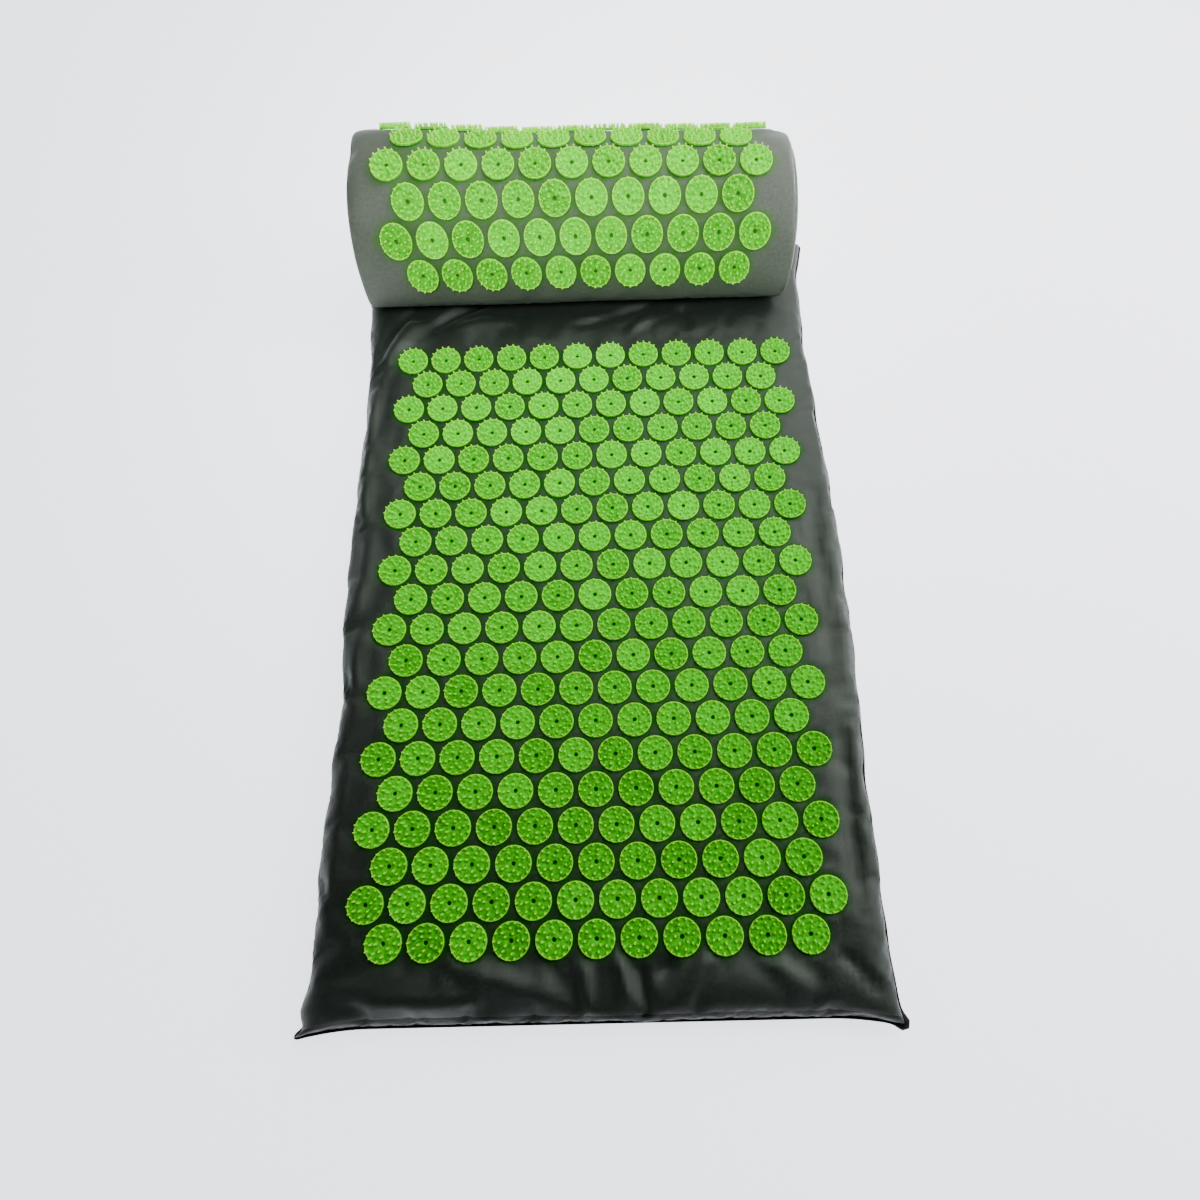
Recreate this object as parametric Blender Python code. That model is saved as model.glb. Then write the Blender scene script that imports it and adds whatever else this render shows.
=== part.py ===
"""Acupressure mat with its neck pillow.

Metres, +Z up, +Y towards the head end. The origin is the centre of the mat's underside.
"""

from math import asin
from math import atan2
from math import cos
from math import hypot
from math import pi
from math import sin
from math import sqrt

import bmesh
import bpy

# Clearance between pieces that rest on each other, and the cloth of both covers
seat_gap = 0.0003
cloth_thick = 0.001

# Spiked discs
disc_pitch = 0.031
disc_diameter = 0.0274
disc_plate_thick = 0.0014
spike_height = 0.0032
web_width = 0.0048

# Mat
mat_row_count = 20
mat_long_row_discs = 12
mat_side_margin = 0.0415
mat_foot_margin = 0.057
mat_head_margin = 0.133
mat_thick = 0.022
mat_edge_round = 0.025
mat_seam_height = 0.0095
mat_seam_thick = 0.0016
mat_ear = 0.006
side_steps = 8

# Pillow
pillow_row_count = 8
pillow_long_row_discs = 11
pillow_end_margin = 0.033
pillow_depth = 0.142
pillow_height = 0.100
pillow_wall_height = 0.024
pillow_foot_tuck = 0.015
pillow_foot_steps = 4
pillow_end_round = 0.022
pillow_end_draw = 0.004
pillow_end_puff = 0.0065
pillow_ear = 0.005
pillow_arch_steps = 20
pillow_front_from_first_row = 0.050
pillow_offset_x = -0.010
pillow_zip_height = 0.026

# Zips
mat_zip_length = 0.300
pillow_zip_length = 0.280
zip_end_margin = 0.006
zip_tape_width = 0.004
zip_tape_thick = 0.0005
zip_slit_width = 0.002
zip_chain_width = 0.0044
zip_chain_thick = 0.0016
zip_stop_length = 0.0025
zip_stop_overlap = 0.0004
slider_length = 0.010
slider_wall = 0.0012
bridge_length = 0.0084
bridge_width = 0.0024
bridge_bar = 0.001
bridge_rise = 0.0019
pull_bar = 0.001
pull_arm_width = 0.001
pull_arm_gap = 0.0004
pull_window = 0.0052
pull_length = 0.020

# The mat's edge from top field to underside, as shares of its edge round and its thickness
mat_upper_edge_shares = ((1.0, 1.0), (0.6, 0.98), (0.28, 0.93), (0.08, 0.82), (0.0, 0.68))
mat_lower_edge_shares = ((1.0, 0.0), (0.24, 0.0), (0.06, 0.055), (0.0, 0.18))
corner_pinch_share = 0.6

# The pillow's end panel from its middle to its rim, as shares of its outline and its puff
pillow_puff_shares = ((0.45, 1.0), (0.8, 0.72), (1.0, 0.0))

# Sizes worked out from the driving ones
row_pitch = disc_pitch * sqrt(3) / 2
mat_width = (mat_long_row_discs - 1) * disc_pitch + 2 * mat_side_margin
mat_length = mat_foot_margin + (mat_row_count - 1) * row_pitch + mat_head_margin
first_row_y = mat_length / 2 - mat_head_margin
pillow_length = (pillow_long_row_discs - 1) * disc_pitch + 2 * pillow_end_margin
pillow_y = first_row_y + pillow_front_from_first_row + pillow_depth / 2
arch_rise = pillow_height - pillow_wall_height


def zip_reach(length):
    """From a zip's middle to the far side of its end stops."""
    return length / 2 + seat_gap + zip_stop_length


mat_ear_run = mat_width / 2 - zip_reach(mat_zip_length) - zip_end_margin
pillow_ear_run = pillow_length / 2 - zip_reach(pillow_zip_length) - zip_end_margin


def clear_scene():
    """Remove what is in the scene."""
    for old in list(bpy.data.objects):
        bpy.data.objects.remove(old, do_unlink=True)


def finish(name, colour, roughness, metallic=0):
    """A plain material."""
    made = bpy.data.materials.new(name)
    made.use_nodes = True
    shader = made.node_tree.nodes["Principled BSDF"]
    shader.inputs["Base Color"].default_value = (*colour, 1)
    shader.inputs["Roughness"].default_value = roughness
    shader.inputs["Metallic"].default_value = metallic
    made.diffuse_color = (*colour, 1)
    return made


def add_piece(name, shape, material, location=(0, 0, 0), tilt=0, parent=None):
    """One named piece from its points and faces, with its faces pointing out."""
    points, faces = shape
    mesh = bpy.data.meshes.new(name)
    mesh.from_pydata(points, [], faces)
    work = bmesh.new()
    work.from_mesh(mesh)
    bmesh.ops.triangulate(work, faces=work.faces, quad_method="SHORT_EDGE")
    bmesh.ops.recalc_face_normals(work, faces=work.faces)
    work.to_mesh(mesh)
    work.free()
    mesh.materials.append(material)
    piece = bpy.data.objects.new(name, mesh)
    bpy.context.scene.collection.objects.link(piece)
    piece.location = location
    piece.rotation_euler = (tilt, 0, 0)
    piece.parent = parent
    return piece


def add_empty(name, location, parent=None):
    """A frame that carries a group of pieces."""
    frame = bpy.data.objects.new(name, None)
    bpy.context.scene.collection.objects.link(frame)
    frame.location = location
    frame.parent = parent
    return frame


def skin(rings, first=0):
    """Faces of the surface through rings of equal count."""
    count = len(rings[0])
    faces = []
    for row in range(len(rings) - 1):
        for step in range(count):
            near = first + row * count
            far = near + count
            after = (step + 1) % count
            faces.append((near + step, near + after, far + after, far + step))
    return faces


def solid(rings):
    """A closed body through rings, with a flat face at each end."""
    count = len(rings[0])
    last = (len(rings) - 1) * count
    faces = skin(rings)
    faces.append(tuple(range(count)))
    faces.append(tuple(range(last, last + count)))
    points = [point for ring in rings for point in ring]
    return points, faces


def shell(outer, inner):
    """A cloth shell between two skins. Both run from the closed middle to the open rim."""
    count = len(outer[0])
    outer_points = [point for ring in outer for point in ring]
    inner_points = [point for ring in inner for point in ring]
    inner_first = len(outer_points)
    faces = skin(outer)
    faces.extend(skin(inner, inner_first))
    faces.append(tuple(range(count)))
    faces.append(tuple(range(inner_first, inner_first + count)))
    outer_rim = inner_first - count
    inner_rim = inner_first + len(inner_points) - count
    for step in range(count):
        after = (step + 1) % count
        faces.append((outer_rim + step, outer_rim + after, inner_rim + after, inner_rim + step))
    return outer_points + inner_points, faces


def extrude_x(outline, start, end):
    """A bar along X from an outline in Y and Z."""
    return solid([[(x, y, z) for y, z in outline] for x in (start, end)])


def box(x_range, y_range, z_range):
    """A plain block between three pairs of limits."""
    low_y, high_y = y_range
    low_z, high_z = z_range
    outline = ((low_y, low_z), (high_y, low_z), (high_y, high_z), (low_y, high_z))
    return extrude_x(outline, *x_range)


def corner_nearness(along, half_side, ear_run):
    """0 on the straight part of a side, 1 at its corner. The ear runs along the side."""
    to_corner = (1 - abs(along)) * half_side
    return max(0, 1 - to_corner / ear_run) ** 2


def plan_outline(half_x, half_y, ear, ear_run):
    """A rectangle whose corners are drawn out to ears: points with their corner nearness."""
    outline = []
    for side in range(4):
        half_side = half_x if side % 2 else half_y
        for step in range(side_steps):
            along = -cos(pi * step / side_steps)
            near = corner_nearness(along, half_side, ear_run)
            flare = ear * near
            ends = ((half_x + flare, along * (half_y + ear)), (-along * (half_x + ear), half_y + flare))
            x, y = ends[side % 2]
            turn = 1 if side < 2 else -1
            outline.append((turn * x, turn * y, near))
    return outline


def mat_ring(inset, height, offset=0, lift=0):
    """One ring of the mat's soft edge. An offset moves it in and a lift moves it up."""
    outline = plan_outline(mat_width / 2 - inset - offset, mat_length / 2 - inset - offset,
                           mat_ear * (1 - inset / mat_edge_round), mat_ear_run)
    ring = []
    for x, y, near in outline:
        pinch = 1 - corner_pinch_share * near * (1 - inset / mat_edge_round)
        ring.append((x, y, mat_seam_height + (height - mat_seam_height) * pinch + lift))
    return ring


def mat_rings(shares, offset=0, lift=0):
    """Rings down one half of the mat's edge."""
    rings = []
    for inset_share, height_share in shares:
        rings.append(mat_ring(inset_share * mat_edge_round, height_share * mat_thick, offset, lift))
    return rings


def mat_cover_top(cloth):
    """The top panel, which wraps down to the seam."""
    rim_height = mat_seam_height + seat_gap / 2
    outer = mat_rings(mat_upper_edge_shares)
    outer.append(mat_ring(0, rim_height))
    inner = mat_rings(mat_upper_edge_shares, cloth_thick, -cloth_thick)
    inner.append(mat_ring(0, rim_height, cloth_thick))
    add_piece("mat_cover_top", shell(outer, inner), cloth)


def mat_cover_base(cloth):
    """The base panel, which wraps up to the seam."""
    rim_height = mat_seam_height - seat_gap / 2
    outer = mat_rings(mat_lower_edge_shares)
    outer.append(mat_ring(0, rim_height))
    inner = mat_rings(mat_lower_edge_shares, cloth_thick, cloth_thick)
    inner.append(mat_ring(0, rim_height, cloth_thick))
    add_piece("mat_cover_base", shell(outer, inner), cloth)


def mat_foam(foam):
    """The slab inside the cover."""
    inside = cloth_thick + seat_gap
    rings = mat_rings(mat_upper_edge_shares, inside, -inside)
    rings.extend(reversed(mat_rings(mat_lower_edge_shares, inside, inside)))
    add_piece("mat_foam", solid(rings), foam)


def mat_edge_seam(cloth):
    """The sewn edge, which runs round from one end of the zip to the other."""
    half = mat_seam_thick / 2
    reach = zip_reach(mat_zip_length) + mat_seam_thick
    outer = mat_ring(0, mat_seam_height, -seat_gap - mat_seam_thick)
    inner = mat_ring(0, mat_seam_height, -seat_gap)
    far_y = mat_length / 2 + seat_gap + mat_seam_thick
    near_y = mat_length / 2 + seat_gap
    head_middle = side_steps + side_steps // 2
    pairs = list(zip(outer, inner))
    path = [((-reach, far_y), (-reach, near_y))]
    for far, near in pairs[head_middle:] + pairs[:head_middle]:
        if near[1] < 0 or abs(near[0]) > reach:
            path.append((far[:2], near[:2]))
    path.append(((reach, far_y), (reach, near_y)))
    sections = []
    for far, near in path:
        low = mat_seam_height - half
        high = mat_seam_height + half
        sections.append([(*far, low), (*far, high), (*near, high), (*near, low)])
    add_piece("mat_edge_seam", solid(sections), cloth)


def disc_rim():
    """Eight rim points of a disc, with a narrow side towards each neighbour in the row."""
    half_turn = asin(web_width / disc_diameter)
    step = (pi - 2 * half_turn) / 3
    turns = [half_turn + step * count for count in range(4)]
    turns.extend([pi + turn for turn in turns])
    radius = disc_diameter / 2
    return [(radius * cos(turn), radius * sin(turn)) for turn in turns]


def disc_row(count):
    """A row of discs with a ring of eight spikes each, joined by narrow webs."""
    rim = disc_rim()
    size = len(rim)
    per_disc = 3 * size + 1
    middle = 2 * size
    points = []
    faces = []
    for number in range(count):
        first = number * per_disc
        centre = (number - (count - 1) / 2) * disc_pitch
        for height in (0, disc_plate_thick):
            points.extend([(centre + x, y, height) for x, y in rim])
        points.append((centre, 0, disc_plate_thick))
        faces.append(tuple(first + place for place in range(size)))
        for spike in range(size):
            after = (spike + 1) % size
            foot = (rim[spike], rim[after], (0, 0))
            tip_x, tip_y = (sum(values) / len(foot) for values in zip(*foot))
            points.append((centre + tip_x, tip_y, disc_plate_thick + spike_height))
            tip = first + middle + 1 + spike
            corners = (first + size + spike, first + size + after, first + middle)
            for place in range(3):
                faces.append((corners[place], corners[(place + 1) % 3], tip))
        for place in range(size):
            after = (place + 1) % size
            to_next = place == size - 1 and number < count - 1
            to_last = place == size // 2 - 1 and number > 0
            if not to_next and not to_last:
                low = first + place
                faces.append((low, first + after, first + size + after, low + size))
        if number < count - 1:
            here = [first + size - 1, first, first + size, first + 2 * size - 1]
            there = first + per_disc + size // 2
            beyond = [there, there - 1, there - 1 + size, there + size]
            for place in range(4):
                after = (place + 1) % 4
                faces.append((here[place], here[after], beyond[after], beyond[place]))
    return points, faces


def mat_disc_rows(plastic):
    """Twenty rows, from the head end down."""
    for number in range(mat_row_count):
        count = mat_long_row_discs - number % 2
        place = (0, first_row_y - number * row_pitch, mat_thick + seat_gap)
        add_piece(f"mat_disc_row_{number + 1:02d}", disc_row(count), plastic, place)


def arch_outline(inset, foot_height, flare=0):
    """The pillow's outline across its length, front foot to back foot, in Y and Z."""
    half = pillow_depth / 2 - inset
    foot = []
    for step in range(1, pillow_foot_steps + 1):
        share = step / pillow_foot_steps
        reach = half - pillow_foot_tuck * share ** 2 + flare * share
        foot.append((reach, pillow_wall_height - (pillow_wall_height - foot_height) * share))
    outline = [(-y, z) for y, z in reversed(foot)]
    for step in range(pillow_arch_steps + 1):
        turn = pi * step / pillow_arch_steps
        height = pillow_wall_height + (arch_rise - inset) * sin(turn)
        outline.append((-half * cos(turn), height))
    return outline + foot


def pillow_stations(end_offset=0):
    """Places along the pillow with how far each is drawn in, 0 to 1."""
    half = pillow_length / 2 - end_offset
    drawn = (1, 0.5, 0, 0, 0.5, 1)
    sides = (-1, -1, -1, 1, 1, 1)
    stations = []
    for side, share in zip(sides, drawn):
        stations.append((side * (half - pillow_end_round * (1 - share)), share ** 2))
    return stations


def pillow_cover_top(cloth, frame):
    """The arched panel that carries the discs."""
    foot = cloth_thick + seat_gap
    rings = []
    for x, share in pillow_stations():
        inset = pillow_end_draw * share
        flare = pillow_ear * share
        outer = arch_outline(inset, foot, flare)
        inner = arch_outline(inset + cloth_thick, foot, flare)
        rings.append([(x, y, z) for y, z in outer + inner[::-1]])
    add_piece("pillow_cover_top", solid(rings), cloth, parent=frame)


def end_rings(side, inset, offset):
    """Rings of an end panel, from its middle to its rim."""
    outline = arch_outline(inset, cloth_thick + seat_gap)
    centre_height = (pillow_height + pillow_wall_height) / 3
    half = pillow_length / 2 - offset
    rings = []
    for size_share, puff_share in pillow_puff_shares:
        x = side * (half + puff_share * pillow_end_puff)
        ring = []
        for y, z in outline:
            ring.append((x, y * size_share, centre_height + (z - centre_height) * size_share))
        rings.append(ring)
    return rings


def pillow_end_panel(name, side, cloth, frame):
    """A puffed end panel inside the rim of the arched panel."""
    inset = pillow_end_draw + cloth_thick + seat_gap
    outer = end_rings(side, inset, 0)
    inner = end_rings(side, inset, cloth_thick)
    add_piece(name, shell(outer, inner), cloth, parent=frame)


def pillow_cover_base(cloth, frame):
    """The flat base panel, with its corners drawn out to ears."""
    half_y = pillow_depth / 2 - pillow_foot_tuck
    outline = plan_outline(pillow_length / 2, half_y, pillow_ear, pillow_ear_run)
    rings = [[(x, y, height) for x, y, near in outline] for height in (0, cloth_thick)]
    add_piece("pillow_cover_base", solid(rings), cloth, parent=frame)


def pillow_foam(foam, frame):
    """The foam block inside the pillow's cover."""
    inside = cloth_thick + seat_gap
    rings = []
    rings.extend(end_rings(-1, pillow_end_draw + 2 * inside, inside)[:-1])
    for x, share in pillow_stations(inside):
        outline = arch_outline(pillow_end_draw * share + inside, inside)
        rings.append([(x, y, z) for y, z in outline])
    rings.extend(end_rings(1, pillow_end_draw + 2 * inside, inside)[-2::-1])
    add_piece("pillow_foam", solid(rings), foam, parent=frame)


def arch_place(distance):
    """The point on the arch at a distance from its top, with the slope there."""
    half = pillow_depth / 2
    fine_steps = 2000
    step = pi / 2 / fine_steps
    walked = 0
    turn = pi / 2
    while walked < abs(distance):
        walked += hypot(half * sin(turn), arch_rise * cos(turn)) * step
        turn -= step
    side = 1 if distance > 0 else -1
    y = side * half * cos(turn)
    z = pillow_wall_height + arch_rise * sin(turn)
    slope = atan2(arch_rise * cos(turn), half * sin(turn))
    return y, z, -side * slope


def pillow_disc_rows(plastic, frame):
    """Eight rows over the arch, from the front up and down the back."""
    for number in range(pillow_row_count):
        count = pillow_long_row_discs - (number + 1) % 2
        distance = (number - (pillow_row_count - 1) / 2) * row_pitch
        y, z, tilt = arch_place(distance)
        place = (0, y - seat_gap * sin(tilt), z + seat_gap * cos(tilt))
        name = f"pillow_disc_row_{number + 1}"
        add_piece(name, disc_row(count), plastic, place, tilt, frame)


def zip_closure(prefix, length, place, tape, metal, parent=None):
    """A closed zip that faces +Y, with its slider at the left end. Its place is on the cloth."""
    frame = add_empty(f"{prefix}_zip_frame", place, parent)
    half = length / 2
    stop_near = half + seat_gap
    stop_far = zip_reach(length)
    tape_depth = (seat_gap, seat_gap + zip_tape_thick)
    slit = zip_slit_width / 2
    edge = slit + zip_tape_width
    chain_foot = tape_depth[1] + seat_gap
    chain_depth = (chain_foot, chain_foot + zip_chain_thick)
    chain_half = zip_chain_width / 2
    stop_half = chain_half + seat_gap + zip_stop_overlap
    along = (-stop_far, stop_far)
    blocks = {
        "tape_upper": (box(along, tape_depth, (slit, edge)), tape),
        "tape_lower": (box(along, tape_depth, (-edge, -slit)), tape),
        "chain": (box((-half, half), chain_depth, (-chain_half, chain_half)), tape),
        "stop_left": (box((-stop_far, -stop_near), chain_depth, (-stop_half, stop_half)), metal),
        "stop_right": (box((stop_near, stop_far), chain_depth, (-stop_half, stop_half)), metal),
    }
    for name, (shape, material) in blocks.items():
        add_piece(f"{prefix}_zip_{name}", shape, material, parent=frame)
    slider_x = slider_length / 2 - half
    carriage = add_empty(f"{prefix}_zip_slider_frame", (slider_x, chain_foot, 0), frame)
    zip_slider(f"{prefix}_zip_slider", metal, carriage)
    zip_pull(f"{prefix}_zip_pull", metal, carriage)


def zip_slider(name, metal, carriage):
    """A channel over the chain, with a bridge that holds the pull."""
    inner = zip_chain_width / 2 + seat_gap
    outer = inner + slider_wall
    under = zip_chain_thick + seat_gap
    top = under + slider_wall
    reach = slider_length / 2
    channel = ((0, -outer), (top, -outer), (top, outer), (0, outer))
    channel += ((0, inner), (under, inner), (under, -inner), (0, -inner))
    slider = add_piece(name, extrude_x(channel, -reach, reach), metal, parent=carriage)
    foot = top - slider_wall / 2
    beam = top + bridge_rise
    far = bridge_length / 2
    near = far - bridge_bar
    half = bridge_width / 2
    arch = ((-far, foot), (-far, beam + bridge_bar), (far, beam + bridge_bar), (far, foot))
    arch += ((near, foot), (near, beam), (-near, beam), (-near, foot))
    rings = [[(x, y, z) for x, y in arch] for z in (-half, half)]
    bridge = add_piece(f"{name}_bridge", solid(rings), metal, parent=carriage)
    hide_helper(bridge)
    join = slider.modifiers.new("bridge", "BOOLEAN")
    join.operation = "UNION"
    join.object = bridge


def zip_pull(name, metal, carriage):
    """A pull with a window, whose bar turns under the slider's bridge."""
    axis_y = zip_chain_thick + seat_gap + slider_wall + bridge_rise / 2
    bar = pull_bar / 2
    arm_near = bridge_width / 2 + pull_arm_gap
    arm_far = arm_near + pull_arm_width
    blank = box((-bar, pull_length), (-bar, bar), (-arm_far, arm_far))
    pull = add_piece(name, blank, metal, (0, axis_y, 0), parent=carriage)
    opening = box((bar, pull_window), (-pull_bar, pull_bar), (-arm_near, arm_near))
    window = add_piece(f"{name}_window", opening, metal, (0, axis_y, 0), parent=carriage)
    hide_helper(window)
    cut = pull.modifiers.new("window", "BOOLEAN")
    cut.operation = "DIFFERENCE"
    cut.object = window


def hide_helper(helper):
    """Keep a cutter or a guide out of the model."""
    helper.hide_render = True
    helper.display_type = "WIRE"


def build():
    """The whole part."""
    clear_scene()
    cloth = finish("cloth", (0.05, 0.056, 0.05), 0.95)
    foam = finish("foam", (0.72, 0.7, 0.6), 0.9)
    mat_green = finish("mat_plastic", (0.3, 0.62, 0.02), 0.35)
    pillow_green = finish("pillow_plastic", (0.42, 0.72, 0.03), 0.35)
    tape = finish("zip_tape", (0.02, 0.022, 0.02), 0.8)
    metal = finish("zip_metal", (0.03, 0.03, 0.032), 0.4, 0.6)
    mat_cover_top(cloth)
    mat_cover_base(cloth)
    mat_foam(foam)
    mat_edge_seam(cloth)
    mat_disc_rows(mat_green)
    zip_closure("mat", mat_zip_length, (0, mat_length / 2, mat_seam_height), tape, metal)
    frame = add_empty("pillow_frame", (pillow_offset_x, pillow_y, mat_thick + seat_gap))
    pillow_cover_top(cloth, frame)
    pillow_cover_base(cloth, frame)
    pillow_end_panel("pillow_end_left", -1, cloth, frame)
    pillow_end_panel("pillow_end_right", 1, cloth, frame)
    pillow_foam(foam, frame)
    pillow_disc_rows(pillow_green, frame)
    back = (0, pillow_depth / 2, pillow_zip_height)
    zip_closure("pillow", pillow_zip_length, back, tape, metal, frame)


build()
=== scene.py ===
"""Looks of the acupressure mat with its neck pillow.

Metres, in the frame of its CAD: +Z up, +Y towards the head end.
"""

from math import cos, exp, pi, radians, sin
from random import Random

import bpy
import numpy as np
from mathutils import Matrix, Vector


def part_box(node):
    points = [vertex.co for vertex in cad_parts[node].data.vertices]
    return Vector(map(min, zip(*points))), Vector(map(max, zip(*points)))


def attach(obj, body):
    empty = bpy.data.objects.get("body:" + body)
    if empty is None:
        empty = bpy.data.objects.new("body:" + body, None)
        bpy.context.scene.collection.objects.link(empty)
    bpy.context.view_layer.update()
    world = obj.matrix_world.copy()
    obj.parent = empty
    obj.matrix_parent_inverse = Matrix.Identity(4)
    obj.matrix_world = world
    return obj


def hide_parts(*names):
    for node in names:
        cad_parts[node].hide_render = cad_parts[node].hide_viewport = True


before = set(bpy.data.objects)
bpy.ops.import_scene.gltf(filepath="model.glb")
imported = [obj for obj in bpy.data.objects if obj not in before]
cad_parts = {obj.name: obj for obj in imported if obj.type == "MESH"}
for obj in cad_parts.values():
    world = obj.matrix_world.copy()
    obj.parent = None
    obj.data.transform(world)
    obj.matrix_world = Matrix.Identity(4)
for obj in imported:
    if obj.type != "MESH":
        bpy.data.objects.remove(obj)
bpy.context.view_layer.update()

dice = Random(7)

# Clearance and cloth, as in the CAD
seat_gap = 0.0003
cloth_thick = 0.001

# Sizes of the spots in the materials
yarn_width = 0.0006
tape_yarn_width = 0.0004
slub_spread = 4
patch_size = 0.06
cloud_size = 0.0024
grain_size = 0.0006
cell_size = 0.0014
cell_patch_size = 0.03
worn_spot_size = 0.0012
nylon_spot_size = 0.0008
floor_spot_size = 0.9
noise_range = (0.3, 0.7)

# Relief of the materials
crossing_relief = 0.00007
slub_relief = 0.00018
grain_relief = 0.00003
cell_relief = 0.0004
worn_relief = 0.00002
glow_depth = 0.0012

# Colour of the cloth's gloss, and the painted green light from the discs with painted shade on the cloth
# beside them: how much, how far out, and how dim and green the gloss is there
cloth_tint = (0.9, 1, 0.88)
painted_disc_light_most = 0.9
painted_disc_light_run = 0.004
painted_shade_gloss = 0.75

# Discs
disc_pitch = 0.031
disc_radius = 0.0137
disc_thick = 0.0014
disc_hole_radius = 0.0017
disc_sides = 26
disc_lip_width = 0.0008
disc_lip_height = 0.0005
disc_edge_round = 0.0003
disc_lean = radians(1.2)
spike_height = 0.0033
spike_sides = 6
spike_sink = 0.0002
spike_lean = radians(8)
plate_crease = radians(35)
# How much painted highlight lies on a disc's lip
lip_painted_highlight = 0.8

# Rings of a spike: share of its height, radius and painted highlight
spike_profile = ((0, 0.0015, 0), (0.25, 0.00105, 0.15), (0.7, 0.00078, 0.65), (1, 0.0005, 1))

# Rings of spikes on a disc: how many, and how far out
spike_rings = ((5, 0.0048), (8, 0.0084), (14, 0.0121))

# Mat
mat_ear = 0.006
mat_rows = 20
mat_row_pitch = disc_pitch * 3 ** 0.5 / 2
mat_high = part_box("mat_cover_top")[1]
base_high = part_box("mat_cover_base")[1]
mat_half_x = mat_high.x - mat_ear
mat_half_y = mat_high.y - mat_ear
mat_thick = mat_high.z
seam_height = base_high.z + seat_gap / 2
ear_run = 0.053
edge_round = 0.025
edge_power = 3.4
under_round = 0.008
under_power = 2.2
edge_steps = 9
edge_run = 0.03
panel_step = 0.0037
base_step = 0.012
# Rows along the foot, and cells along each side, in the band of painted shade
foot_band_rows = 4
side_band_cells = 2
side_inset = 0.0008
end_inset = 0.0002
slope_step = 0.005
seam_lip = 0.0019
seam_lip_thick = 0.0011
tube_sides = 8
knob_swell = 2.4
knob_run = 0.006
foam_inset = 0.0022
foam_hollow_spread = 1.6
weld_reach = 0.00002

# Uneven long sides: height, length and start of each wave
side_wobbles = ((0.0006, 0.083, 0), (0.0004, 0.041, 1))

# How far each long side is drawn in, at places from foot to head
left_draws = (
    (-0.350, -0.001), (-0.344, 0.0032), (-0.332, -0.001), (-0.316, 0.0016), (-0.256, 0.0005),
    (-0.207, 0.0002), (-0.150, 0.0020), (-0.110, 0.0034), (-0.100, 0.0020), (-0.013, -0.0025),
    (0.150, -0.0025), (0.200, -0.0024), (0.246, -0.0062), (0.290, -0.0085), (0.350, -0.004),
)
right_draws = (
    (-0.350, -0.0020), (-0.300, -0.0022), (-0.170, -0.0002), (-0.100, -0.0022), (0.006, -0.0015),
    (0.063, 0.0008), (0.140, 0.0055), (0.228, 0.0105), (0.290, 0.0105), (0.350, 0.0085),
)

# Slow waves of the mat's face: length, direction and height
mat_waves = ((0.31, 0.4, 0.0007), (0.17, 1.9, 0.0004), (0.23, 2.7, 0.0004), (0.11, 1.1, 0.00015))
quilt_height = 0.0006
quilt_near = 0.0125
quilt_far = 0.0165
calm_from = 0.24
calm_run = 0.05

# Folds of the mat's borders: start, bend and end, height and half width
mat_folds = (
    ((-0.130, 0.290), (-0.184, 0.266), (-0.203, 0.190), 0.0058, 0.0115),
    ((-0.085, 0.288), (-0.135, 0.280), (-0.166, 0.246), -0.0060, 0.0070),
    ((-0.052, 0.276), (-0.110, 0.270), (-0.138, 0.246), 0.0050, 0.0120),
    ((-0.150, 0.292), (-0.208, 0.262), (-0.203, 0.185), -0.0049, 0.0060),
    ((-0.178, 0.225), (-0.199, 0.190), (-0.197, 0.125), -0.0032, 0.0046),
    ((-0.204, 0.200), (-0.206, 0.110), (-0.202, 0.030), 0.0032, 0.0055),
    ((-0.198, 0.060), (-0.190, 0.000), (-0.205, -0.050), 0.0029, 0.0055),
    ((-0.190, -0.030), (-0.199, -0.080), (-0.192, -0.130), 0.0032, 0.0055),
    ((-0.206, -0.080), (-0.200, -0.105), (-0.190, -0.112), -0.0029, 0.0041),
    ((-0.200, -0.140), (-0.192, -0.220), (-0.203, -0.300), 0.0026, 0.0064),
    ((0.082, 0.280), (0.060, 0.262), (0.028, 0.243), 0.0052, 0.0048),
    ((0.066, 0.282), (0.030, 0.262), (-0.034, 0.250), -0.0038, 0.0051),
    ((0.080, 0.276), (0.088, 0.262), (0.090, 0.242), -0.0035, 0.0051),
    ((-0.030, 0.268), (0.000, 0.262), (0.030, 0.266), 0.0026, 0.0064),
    ((0.130, 0.272), (0.150, 0.262), (0.176, 0.256), 0.0020, 0.0083),
    ((0.190, 0.100), (0.191, 0.010), (0.194, -0.120), -0.0038, 0.0046),
    ((0.202, 0.170), (0.204, 0.000), (0.205, -0.190), 0.0023, 0.0051),
    ((0.193, -0.130), (0.197, -0.200), (0.192, -0.290), -0.0041, 0.0055),
    ((0.014, -0.298), (0.018, -0.320), (0.024, -0.342), 0.0043, 0.0031),
    ((0.029, -0.302), (0.032, -0.324), (0.038, -0.346), -0.0035, 0.0039),
    ((-0.010, -0.306), (-0.009, -0.322), (-0.006, -0.344), 0.0029, 0.0041),
    ((0.072, -0.292), (0.058, -0.308), (0.040, -0.322), -0.0043, 0.0044),
    ((0.086, -0.300), (0.070, -0.318), (0.060, -0.342), 0.0032, 0.0055),
    ((0.118, -0.300), (0.134, -0.320), (0.156, -0.332), 0.0026, 0.0069),
    ((0.176, -0.302), (0.190, -0.322), (0.206, -0.338), -0.0026, 0.0051),
    ((-0.120, -0.300), (-0.070, -0.322), (-0.020, -0.334), 0.0026, 0.0074),
    ((-0.196, -0.322), (-0.130, -0.338), (-0.070, -0.330), 0.0029, 0.0060),
)
fold_steps = 75
fold_fade_rate = 3
fold_fade_least = 0.12
fold_clear_near = 0.0135
fold_clear_far = 0.0215
fold_press_run = 0.012

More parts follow.
